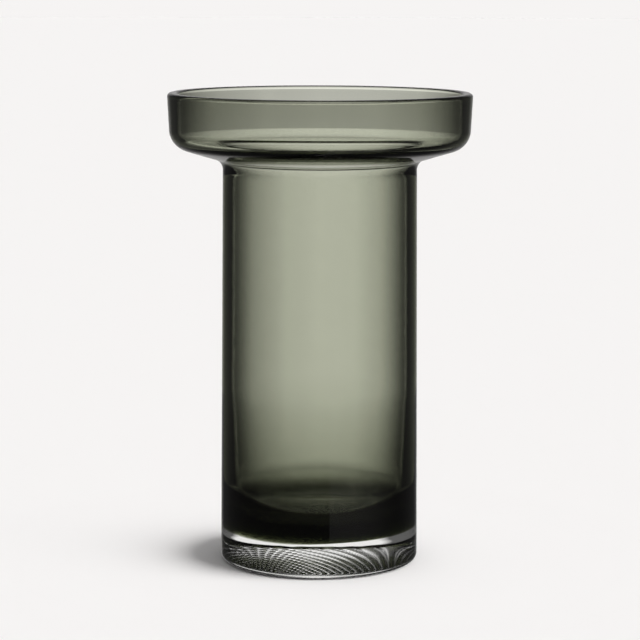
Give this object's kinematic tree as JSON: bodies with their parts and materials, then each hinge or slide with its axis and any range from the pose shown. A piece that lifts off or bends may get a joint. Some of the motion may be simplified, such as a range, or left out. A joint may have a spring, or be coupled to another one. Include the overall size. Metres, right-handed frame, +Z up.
{
  "type": "collared glass cylinder vase",
  "caption": "Tall straight glass cylinder vase with a wide shallow collar at the rim, in smoke-green glass on a thick clear glass foot with a pressed underside.",
  "frame": {"origin": "centre of the foot's resting plane", "axes": "+Z up along the cylinder's axis, from the foot to the rim; X and Y are equal, because both pieces are turned about Z"},
  "size_m": [0.1574, 0.1574, 0.245],
  "materials": {
    "smoke_green_glass": "blown, fire polished, transparent smoke green",
    "clear_glass": "fire polished side, pressed lattice on the underside"
  },
  "bodies": {
    "root": {"coloured_vessel": "smoke_green_glass", "clear_foot": "clear_glass"}
  },
  "joints": []
}
